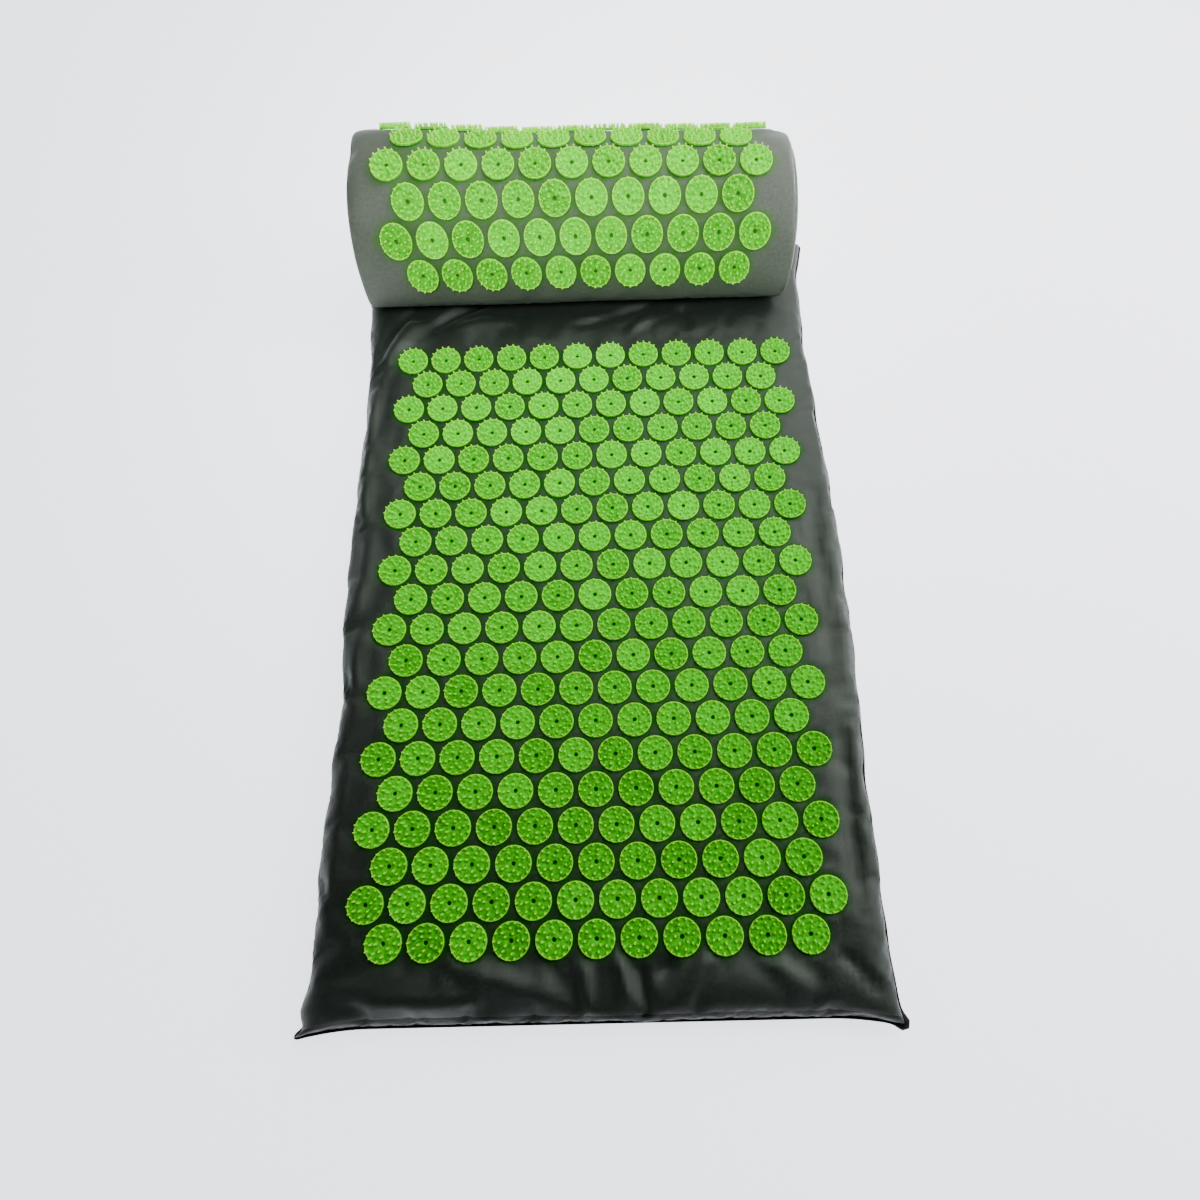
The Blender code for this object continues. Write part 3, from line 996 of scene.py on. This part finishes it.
def pillow_surface(x, walk, lift=0):
    """A point on the pillow's arched face, lifted off it. X is from the pillow's middle."""
    y, z, out_y, out_z = arch_place(walk)
    to_end = pillow_half_x - np.abs(x)
    to_foot = arch_reach - np.abs(walk)
    over = 1 - smooth_step(np.abs(walk) / zip_walk)
    left, right = [draw * over * (1 - rise(to_end, run, pillow_end_power))
                   for draw, run in zip(pillow_end_draws, pillow_end_runs)]
    draw = np.where(x < 0, left, right)
    calm = np.where(walk > 0, smooth_step((zip_walk - walk) / wave_fade), smooth_step(to_foot / wave_fade))
    lean = -pillow_lean * over * x / pillow_half_x
    lean = lean + pillow_back_rise * over * smooth_step(walk / wave_fade) * smooth_step(-x / pillow_half_x)
    off = (waves(x, walk, pillow_waves) + lean) * calm - draw + lift - arch_sink
    foot = smooth_step(1 - to_foot / pillow_foot_run)
    front = np.where(walk < 0, to_foot, pillow_corner_height)
    flare = np.where(walk > 0, pillow_ear * corner_near(x, pillow_half_x) * foot, 0)
    plan_x = x * (1 + pillow_ear * foot / pillow_half_x) - corner_tuck(x, front)
    plan_x = plan_x + end_swell(x, np.clip(-walk / arch_reach, 0, 1))
    return np.stack([pillow_x + plan_x, pillow_y + y + flare + out_y * off, pillow_z + z + out_z * off], -1)


def end_rim(side):
    """The arch's outline at one end of the pillow."""
    return pillow_surface(np.full(len(arch_rows), side * pillow_half_x), arch_rows)


def flatten_under_discs(points, x, walk, centres):
    """Bring the cloth up to the flat underside of each disc, and let it fall away outside the rim."""
    for centre in centres:
        seat, normal = [np.array(part) for part in pillow_seat(*centre)]
        away = np.hypot(x - centre[0], walk - centre[1])
        share = 1 - smooth_step((away - disc_radius) / flat_run)
        gap = (seat - points) @ normal - seat_gap
        points = points + np.outer(np.maximum(gap, 0) * share, normal)
    return points


def pillow_arch_panel(cloth, centres):
    """The cloth over the pillow's arch."""
    x, walk = np.meshgrid(spread(pillow_half_x, pillow_step), arch_rows)
    away = nearest(x, walk, centres)
    lift = quilt(away) + puckers(pillow_half_x - np.abs(x), walk)
    lift = lift * smooth_step((arch_reach - np.abs(walk)) / foot_lift_run)
    points = pillow_surface(x, walk, lift).reshape(-1, 3)
    points = flatten_under_discs(points, x.ravel(), walk.ravel(), centres)
    # The last values say where the discs' painted green light and painted shade lie on the cloth
    piece = add_piece("pillow_arch_panel", points, grid_faces(x.shape), cloth, "pillow", ["pillow_cover_top"],
                      weave=weave_at(x, walk), near_disc=painted_disc_light_share(away).ravel())
    held = np.flatnonzero((away < quilt_near) | border(x.shape) | (walk > zip_walk))
    settle(piece, held, *arch_settling)
    thicken(piece)


def carried_in(layer, ring):
    """The x of a ring carried to the points inside it, each ring point weighted by its nearness."""
    away = np.hypot(layer[:, 1, None] - ring[:, 1], layer[:, 2, None] - ring[:, 2])
    weights = 1 / np.maximum(away, carry_least) ** 3
    return (weights * ring[:, 0]).sum(axis=1) / weights.sum(axis=1)


def base_plan(x, y):
    """Where a point of the pillow's flat base lies once its corners are drawn out to ears or rounded."""
    ear_x = pillow_ear * corner_near(y, base_half_y)
    ear_y = np.where(y < 0, 0, pillow_ear * corner_near(x, pillow_half_x))
    foot = np.clip(0.5 - y / (2 * base_half_y), 0, 1)
    plan_x = pillow_x + x * (pillow_half_x + ear_x) / pillow_half_x
    plan_x = plan_x + end_swell(x, foot) - corner_tuck(x, y + base_half_y)
    plan_y = pillow_y + y * (base_half_y + ear_y) / base_half_y
    return plan_x, plan_y


def end_ring(side):
    """The outline of an end panel: the arch's rim, and the base's edge back to its start."""
    rim = end_rim(side)
    count = len(rim) // 2
    shares = np.linspace(1, -1, count + 2)[1:-1]
    low_x, low_y = base_plan(np.full(count, side * pillow_half_x), base_half_y * shares)
    return np.concatenate([rim, np.stack([low_x, low_y, np.full(count, rim[0][2])], -1)])


def pillow_end(name, side, cloth):
    """A puffed end panel inside the arch's rim."""
    ring = end_ring(side)
    size = len(ring)
    middle = np.array([ring[0][0], pillow_y, pillow_z + (pillow_wall + pillow_rise) * end_middle_share])
    points = []
    for number in range(pillow_end_rings + 1):
        share = 1 - number / pillow_end_rings
        puff = pillow_end_puff * (1 - share ** puff_spread) ** puff_blunt
        layer = middle + (ring - middle) * share if share > 0 else middle.reshape(1, 3)
        layer[:, 0] = carried_in(layer, ring) + side * puff
        points.append(layer)
    points = np.concatenate(points)
    faces = belt_faces(pillow_end_rings, size)
    last = (pillow_end_rings - 1) * size
    faces.extend((last + place, last + (place + 1) % size, len(points) - 1) for place in range(size))
    if side > 0:
        faces = turned_over(faces)
    piece = add_piece(f"pillow_side_{name}", points, faces, cloth, "pillow", [f"pillow_end_{name}"],
                      weave=weave_at(points[:, 1], points[:, 2]))
    settle(piece, range(size), *end_settling)
    thicken(piece)


def pillow_base_panel(cloth):
    """The cloth under the pillow."""
    x, y = np.meshgrid(spread(pillow_half_x, base_step), spread(base_half_y, base_step))
    points = stacked(*base_plan(x, y), np.full(x.shape, pillow_z))
    piece = add_piece("pillow_base_panel", points, grid_faces(x.shape, flip=True), cloth, "pillow",
                      ["pillow_cover_base"], weave=weave_at(x, y))
    thicken(piece)


def pillow_end_seam(name, side, cloth):
    """The sewn ridge where the arch meets an end panel."""
    out_y, out_z = arch_place(arch_rows)[2:]
    across = Vector((side, 0, 0))
    path = [(Vector(place), Vector((0, *way)), across) for place, *way in zip(end_rim(side), out_y, out_z)]
    points, faces = tube(path, ridge_half_width, ridge_half_height)
    if side < 0:
        faces = turned_over(faces)
    weave = [(point.y, point.z, 0) for point in points]
    piece = add_piece(f"pillow_end_seam_{name}", points, faces, cloth, "pillow", weave=weave)


def pillow_foam_pad(foam):
    """The foam block inside the pillow's cover."""
    reach = pillow_half_x - foam_end_inset
    across = np.linspace(-reach, reach, foam_columns)
    x, walk = np.meshgrid(across, np.linspace(-arch_reach, arch_reach, foam_rows))
    points = pillow_surface(x, walk, -2 * foam_inset)
    points[..., 2] = np.maximum(points[..., 2], pillow_z + foam_inset)
    faces = grid_faces(x.shape)
    faces.append(tuple(range(0, x.size, foam_columns)))
    faces.append(tuple(range(foam_columns - 1, x.size, foam_columns))[::-1])
    last = x.size - foam_columns
    faces.extend((place, last + place, last + place + 1, place + 1) for place in range(foam_columns - 1))
    piece = add_piece("pillow_foam_pad", points.reshape(-1, 3), faces, foam, "pillow", ["pillow_foam"])


# Discs

def disc_plate():
    """A round plate with a lip, a hole and rounded edges: points, faces and painted highlight."""
    lip_in = disc_radius - disc_lip_width
    top = disc_thick
    profile = (
        (disc_hole_radius, 0, 0),
        (disc_hole_radius, top - disc_edge_round, 0),
        (disc_hole_radius + disc_edge_round, top, 0),
        (lip_in - disc_edge_round, top, 0),
        (lip_in, top + disc_lip_height, lip_painted_highlight),
        (disc_radius - disc_edge_round, top + disc_lip_height, lip_painted_highlight),
        (disc_radius, top, 0),
        (disc_radius, disc_edge_round, 0),
        (disc_radius - disc_edge_round, 0, 0),
    )
    round_way = circle(disc_sides)
    points = [(radius * x, radius * y, height) for radius, height, painted_highlight in profile for x, y in round_way]
    pale = [painted_highlight for radius, height, painted_highlight in profile for _ in round_way]
    return points, belt_faces(len(profile), disc_sides, closed=True), pale


def spike(radius, outward):
    """A blunt spike with a flared foot, which leans out a little."""
    foot = disc_thick - spike_sink
    length = spike_height + spike_sink
    points = []
    pale = []
    for share, thick, painted_highlight in spike_profile:
        shift = share * length * sin(spike_lean)
        x, y = [radius * way + way * shift for way in outward]
        points.extend((x + thick * across, y + thick * along, foot + share * length)
                      for across, along in circle(spike_sides))
        pale.extend([painted_highlight] * spike_sides)
    faces = belt_faces(len(spike_profile), spike_sides)
    faces.append(tuple(range(len(points) - spike_sides, len(points))))
    return points, faces, pale


def spiked_disc():
    """A plate with its rings of spikes: points, faces and painted highlight."""
    points, faces, pale = disc_plate()
    for count, radius in spike_rings:
        for number in range(count):
            turn = 2 * pi * (number + radius / disc_radius) / count
            more, sides, more_painted_highlight = spike(radius, (cos(turn), sin(turn)))
            faces.extend(moved_on(sides, len(points)))
            points.extend(more)
            pale.extend(more_painted_highlight)
    return np.array(points), faces, np.array(pale)


def disc_matrix(place, normal):
    """Stand a disc on its place, turned and tipped a little at random."""
    stand = Vector(normal).to_track_quat("Z", "Y").to_matrix().to_4x4()
    turn = Matrix.Rotation(dice.uniform(0, 2 * pi), 4, "Z")
    tip = Matrix.Rotation(dice.uniform(-disc_lean, disc_lean), 4, "X")
    return Matrix.Translation(place) @ stand @ tip @ turn


def disc_row(name, node, seats, plastic, body):
    """One row of discs, each on its own seat."""
    shape, sides, painted_highlight = spiked_disc_shape
    points = []
    faces = []
    tones = []
    for number, (place, normal) in enumerate(seats):
        placed = np.array(disc_matrix(place, normal))
        points.append(shape @ placed[:3, :3].T + placed[:3, 3])
        faces.extend(moved_on(sides, number * len(shape)))
        tones.append(np.full(len(shape), dice.random()))
    # The pale values are painted highlights on the lips and the spike tips
    piece = add_piece(name, np.concatenate(points), faces, plastic, body, [node],
                      tone=np.concatenate(tones), pale=np.tile(painted_highlight, len(seats)))
    piece.data.set_sharp_from_angle(angle=plate_crease)


def mat_seat(x, y):
    """Where a disc sits on the mat, and the way up there."""
    slope_x = (mat_face(x + slope_step, y) - mat_face(x - slope_step, y)) / (2 * slope_step)
    slope_y = (mat_face(x, y + slope_step) - mat_face(x, y - slope_step)) / (2 * slope_step)
    normal = Vector((-slope_x, -slope_y, 1)).normalized()
    return Vector((x, y, float(mat_face(x, y)) + seat_gap)), normal


def pillow_seat(x, walk):
    """Where a disc sits on the pillow, and the way out there."""
    place = pillow_surface(np.array(x), np.array(walk), arch_sink + seat_gap)
    out_y, out_z = arch_place(np.array(walk))[2:]
    return Vector(place), Vector((0, float(out_y), float(out_z)))


# Zips

def rod(lie, reach, radius, sides):
    """A short rod with rounded ends, from its middle, its way and a way across it."""
    middle, way, across = lie
    other = way.cross(across)
    points = []
    for share, size in rod_sections:
        for right, up in circle(sides):
            points.append(middle + way * reach * share + (across * right + other * up) * radius * size)
    faces = belt_faces(len(rod_sections), sides)
    faces.append(tuple(range(sides))[::-1])
    faces.append(tuple(range(len(points) - sides, len(points))))
    return points, faces


def gather(shapes):
    """Several shapes as one."""
    points = []
    faces = []
    for more, sides in shapes:
        faces.extend(moved_on(sides, len(points)))
        points.extend(more)
    return points, faces


def zip_coil(prefix, nylon):
    """The coil of a closed zip: loops from both tapes, in turn."""
    node = f"{prefix}_zip_chain"
    (_, y, z), (_, depth, half) = measured(node)
    shapes = []
    for number, x in enumerate(places_along(node, coil_pitch)):
        side = 1 if number % 2 else -1
        place = Vector((x, y + depth * coil_forward, z + side * half * coil_offset))
        way = Vector((coil_lean * side, 0, 1)).normalized()
        lie = (place, way, Vector((0, 1, 0)))
        shapes.append(rod(lie, half * coil_reach, depth * coil_thick, coil_sides))
    points, faces = gather(shapes)
    piece = add_piece(f"{prefix}_zip_coil", points, faces, nylon, prefix, [node])


def zip_tapes(prefix, tape):
    """The two woven tapes, with a slight ripple."""
    for place in stitch_lines:
        node = f"{prefix}_zip_tape_{place}"
        low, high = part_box(node)
        x, share = np.meshgrid(np.linspace(low.x, high.x, tape_columns), np.linspace(0, 1, tape_rows))
        ripple = tape_ripple * np.sin(2 * pi * x / tape_ripple_length) * np.sin(pi * share)
        y = high.y - tape_ripple + ripple
        z = low.z + (high.z - low.z) * share
        piece = add_piece(f"{prefix}_zip_band_{place}", stacked(x, y, z), grid_faces(x.shape, flip=True),
                          tape, prefix, [node], weave=weave_at(x, z))
        thicken(piece, high.y - low.y)


def zip_stitches(prefix, thread):
    """A row of stitches along each tape."""
    shapes = []
    for place, share in stitch_lines.items():
        node = f"{prefix}_zip_tape_{place}"
        low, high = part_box(node)
        z = low.z + (high.z - low.z) * share
        for x in places_along(node, stitch_pitch):
            lie = (Vector((x, high.y, z)), Vector((1, 0, 0)), Vector((0, 1, 0)))
            shapes.append(rod(lie, stitch_length / 2, stitch_radius, stitch_sides))
    points, faces = gather(shapes)
    piece = add_piece(f"{prefix}_zip_stitches", points, faces, thread, prefix)


def slab(outline, near, far):
    """A plate from an outline in X and Z, between two places in Y."""
    count = len(outline)
    points = [Vector((x, y, z)) for y in (near, far) for x, z in outline]
    faces = [tuple(range(count)), tuple(range(count, 2 * count))[::-1]]
    for place in range(count):
        after = (place + 1) % count
        faces.append((place + count, after + count, after, place))
    return points, faces


def zip_stops(prefix, metal):
    """The crimped end stops."""
    for end in ("left", "right"):
        node = f"{prefix}_zip_stop_{end}"
        low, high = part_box(node)
        outline = ((low.x, low.z), (high.x, low.z), (high.x, high.z), (low.x, high.z))
        points, faces = slab(outline, low.y, high.y)
        piece = add_piece(f"{prefix}_zip_crimp_{end}", points, faces, metal, prefix, [node])
        soften(piece, stop_round)


def zip_slider(prefix, metal):
    """The slider: a shield-shaped plate, its two flanges and the bridge."""
    node = f"{prefix}_zip_slider"
    low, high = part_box(node)
    (x, _, z), (half, _, wide) = measured(node)
    plate_far = low.y + slider_depth
    plate_near = plate_far - slider_wall
    outline = [(x + half * along, z - wide * across) for along, across in shield]
    outline += [(x + half * along, z + wide * across) for along, across in shield[::-1]]
    shapes = [slab(outline, plate_near, plate_far)]
    for side in (-1, 1):
        edge = [(x + half * along, z + side * wide * across) for along, across in flange]
        shapes.append(slab(edge[::side], low.y, plate_near + seat_gap))
    shapes.append(bridge_shape(x, z, half * bridge_reach, plate_far - seat_gap, high.y))
    points, faces = gather(shapes)
    piece = add_piece(f"{prefix}_zip_car", points, faces, metal, f"{prefix}_slider", [node])
    piece.data.shade_flat()
    soften(piece, slider_round)


def bridge_shape(x, z, reach, foot, top):
    """The loop on the slider that holds the pull."""
    outer = []
    inner = []
    for number in range(bridge_steps + 1):
        turn = pi * number / bridge_steps
        share = min(1, bridge_swell * sin(turn))
        outer.append((x - reach * cos(turn), foot + (top - foot) * share))
        inner.append((x - (reach - bridge_bar) * cos(turn), foot + (top - bridge_bar - foot) * share))
    loop = outer + inner[::-1]
    count = len(loop)
    points = [Vector((across, depth, z + side * bridge_half_width))
              for side in (-1, 1) for across, depth in loop]
    faces = []
    for first in (0, count):
        for number in range(bridge_steps):
            near = first + number
            mate = first + count - 1 - number
            face = (near, near + 1, mate - 1, mate)
            faces.append(face if first else face[::-1])
    faces.extend(belt_faces(2, count))
    return points, faces


def pull_outlines(low, high, axis, z, wide):
    """Outlines of the pull and of its window, in X and Z."""
    middle = axis + (window_near + window_far) / 2
    outer = []
    inner = []
    for number in range(pull_sides):
        turn = 2 * pi * (number + 0.5) / pull_sides
        ahead, across = cos(turn), sin(turn)
        blunt = max(abs(ahead), abs(across))
        square_x, square_z = ahead / blunt, across / blunt
        inner.append((middle + square_x * (window_far - window_near) / 2, z + square_z * window_half_height))
        reach = high - middle if ahead > 0 else middle - low
        waist = wide * (pull_waist if abs(square_x) < 1 or ahead < 0 else 1)
        outer.append((middle + square_x * reach, z + square_z * waist))
    return outer + inner


def zip_pull(prefix, metal):
    """The pull: a tapered tab with a window and a wider grip."""
    node = f"{prefix}_zip_pull"
    low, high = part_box(node)
    (_, y, z), (_, thick, wide) = measured(node)
    outlines = pull_outlines(low.x, high.x, low.x + thick, z, wide)
    points = [Vector((across, depth, up)) for depth in (y - thick, y + thick) for across, up in outlines]
    sides = pull_sides
    top = len(outlines)
    faces = []
    for place in range(sides):
        after = (place + 1) % sides
        faces.append((place, after, sides + after, sides + place))
        faces.append((top + sides + place, top + sides + after, top + after, top + place))
        faces.append((top + place, top + after, after, place))
        faces.append((sides + place, sides + after, top + sides + after, top + sides + place))
    piece = add_piece(f"{prefix}_zip_tab", points, faces, metal, f"{prefix}_pull", [node])
    piece.data.shade_flat()
    soften(piece, pull_round)


def zips(tape, nylon, thread, metal):
    """Both zips."""
    for prefix in ("mat", "pillow"):
        zip_tapes(prefix, tape)
        zip_stitches(prefix, thread)
        zip_coil(prefix, nylon)
        zip_stops(prefix, metal)
        zip_slider(prefix, metal)
        zip_pull(prefix, metal)


# Stage

def floor():
    """A plain pale floor that curves up to a low wall all round."""
    made, tree, shader = new_material("floor")
    glow = attribute(tree, "glow").outputs["Fac"]
    tone = speckle(tree, object_place(tree), floor_spot_size, 1)
    pale = blend_colours(tree, tone, (0.78, 0.79, 0.82), (0.82, 0.83, 0.86))
    paint(tree, shader, glow, (0.5, 0.505, 0.52), pale)
    set_inputs(shader, Roughness=0.9, Specular_IOR_Level=0.2, Emission_Color=(*daylight, 1))
    plug(tree, shader.inputs["Emission Strength"], sums(tree, "MULTIPLY", glow, floor_glow))
    round_way = circle(floor_turns)
    points = [(radius * x, radius * y, height - floor_drop)
              for radius, height, share in floor_rings for x, y in round_way]
    glows = [share for radius, height, share in floor_rings for _ in round_way]
    faces = [tuple(range(floor_turns))] + outward_belt(len(floor_rings), floor_turns)
    plane = add_object("floor", points, faces, made, glow=glows)


def lamp(name, place, target, size, power, beam):
    """A square soft light that faces a target."""
    light = bpy.data.lights.new(name, "AREA")
    light.spread = beam
    light.shape = "SQUARE"
    light.size = size
    light.energy = power
    holder = put_in_scene(name, light)
    holder.location = place
    holder.rotation_euler = (Vector(target) - Vector(place)).to_track_quat("-Z", "Y").to_euler()


def surroundings():
    """A faint light from all round, so that no shadow is black."""
    world = bpy.data.worlds.new("studio")
    world.use_nodes = True
    set_inputs(world.node_tree.nodes["Background"], Color=(*daylight, 1), Strength=0.02)
    bpy.context.scene.world = world


def camera():
    """The photograph's camera."""
    data = bpy.data.cameras.new("camera")
    data.sensor_width = sensor_width
    data.lens = camera_lens
    data.shift_x, data.shift_y = camera_shift
    data.clip_start = camera_clip
    holder = put_in_scene("camera", data)
    holder.location = camera_place
    holder.rotation_euler = camera_turn
    bpy.context.scene.camera = holder


# The whole scene

camera()
floor()
surroundings()
for name, settings in lamps.items():
    lamp(name, *settings)

# Each cloth's cast colour is painted green light from the discs, with painted shade
mat_cloth = woven_cloth("mat_cloth", (0.002, 0.0045, 0.0026), (0.010, 0.0155, 0.012), 0.54, 0.1,
                        painted_disc_light=(0.004, 0.05, 0.001))
# The pillow's cloth is a lighter copy of the mat's: painted light, as the pillow stands in more light
pillow_cloth = woven_cloth("pillow_cloth", (0.042, 0.051, 0.038), (0.09, 0.103, 0.082), 0.35, 0.15,
                           painted_disc_light=(0.035, 0.12, 0.015))
# A darker, duller copy of the mat's cloth: painted shade, on the mat's sewn edge and the band of its face
# beside it
painted_shade_cloth = woven_cloth("painted_shade_cloth", (0.0012, 0.003, 0.0018), (0.005, 0.008, 0.006), 0.12, 0)
green = spiked_plastic("mat_plastic", (0.016, 0.24, 0.002), (0.1, 0.82, 0.006), (0.40, 0.98, 0.04))
# The pillow's plastic is a lighter, yellower copy of the mat's: painted light, as the pillow stands in more
# light
painted_light_plastic = spiked_plastic("pillow_plastic", (0.025, 0.26, 0.003), (0.14, 0.85, 0.01), (0.46, 0.98, 0.06))
foam = cell_foam("foam", (0.75, 0.73, 0.66), (0.5, 0.48, 0.42))
tape = woven_cloth("zip_tape", (0.008, 0.009, 0.009), (0.03, 0.032, 0.031), 0.3, 0.1, tape_yarn_width)
nylon = moulded_nylon("zip_nylon", (0.012, 0.013, 0.013), (0.03, 0.031, 0.031))
thread = moulded_nylon("thread", (0.03, 0.034, 0.031), (0.07, 0.075, 0.07))
metal = zip_metal("zip_metal", (0.09, 0.09, 0.095), (0.35, 0.35, 0.36))

mat_discs = mat_disc_rows()
pillow_discs = pillow_disc_rows()
mat_centres = [centre for row in mat_discs.values() for centre in row]
pillow_centres = [centre for row in pillow_discs.values() for centre in row]
spiked_disc_shape = spiked_disc()

mat_top_panel(mat_cloth, painted_shade_cloth, mat_centres)
mat_base_panel(mat_cloth)
mat_foam_pad(foam)
mat_sewn_edge(painted_shade_cloth)
for number, (node, centres) in enumerate(mat_discs.items(), 1):
    seats = [mat_seat(*centre) for centre in centres]
    disc_row(f"mat_spike_row_{number:02d}", node, seats, green, "mat")

pillow_arch_panel(pillow_cloth, pillow_centres)
pillow_end("left", -1, pillow_cloth)
pillow_end("right", 1, pillow_cloth)
pillow_base_panel(pillow_cloth)
pillow_end_seam("left", -1, pillow_cloth)
pillow_end_seam("right", 1, pillow_cloth)
pillow_foam_pad(foam)
for number, (node, centres) in enumerate(pillow_discs.items(), 1):
    seats = [pillow_seat(*centre) for centre in centres]
    disc_row(f"pillow_spike_row_{number}", node, seats, painted_light_plastic, "pillow")

zips(tape, nylon, thread, metal)
